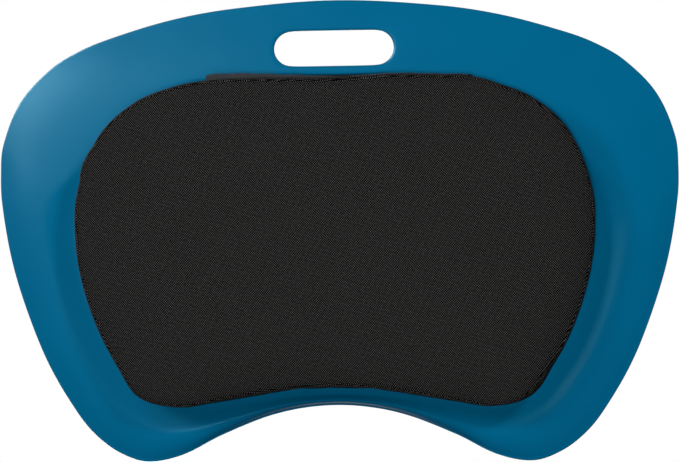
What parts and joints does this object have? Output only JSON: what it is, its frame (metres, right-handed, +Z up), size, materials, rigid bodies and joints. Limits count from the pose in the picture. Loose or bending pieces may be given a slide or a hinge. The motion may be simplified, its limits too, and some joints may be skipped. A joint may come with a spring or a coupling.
{
  "type": "lap tray with cushion",
  "caption": "Moulded lap tray with a hand slot and a body cut-out, on a sewn foam cushion seated in a recess under the board.",
  "frame": {"origin": "middle of the tray in plan, on the plane that the cushion stands on", "axes": "+Z up, out of the work surface; +Y towards the hand slot; -Y towards the body cut-out; +X along the tray's width"},
  "size_m": [0.5082, 0.3451, 0.0503],
  "materials": {
    "moulded_tray": "satin gloss, moulded",
    "foam_tape": "matt foam tape",
    "cushion_foam": "open-cell foam",
    "cover_cloth": "woven, matt",
    "hem_cloth": "smooth folded cloth",
    "sewing_thread": "twisted thread"
  },
  "bodies": {
    "root": {"tray_board": "moulded_tray", "tape_strips": "foam_tape", "foam_core": "cushion_foam", "cushion_face_panel": "cover_cloth", "cushion_side_band": "cover_cloth", "cushion_back_panel": "cover_cloth", "face_seam_thread": "sewing_thread", "back_seam_thread": "sewing_thread", "closing_hem": "hem_cloth", "hem_stitches": "sewing_thread"}
  },
  "joints": []
}
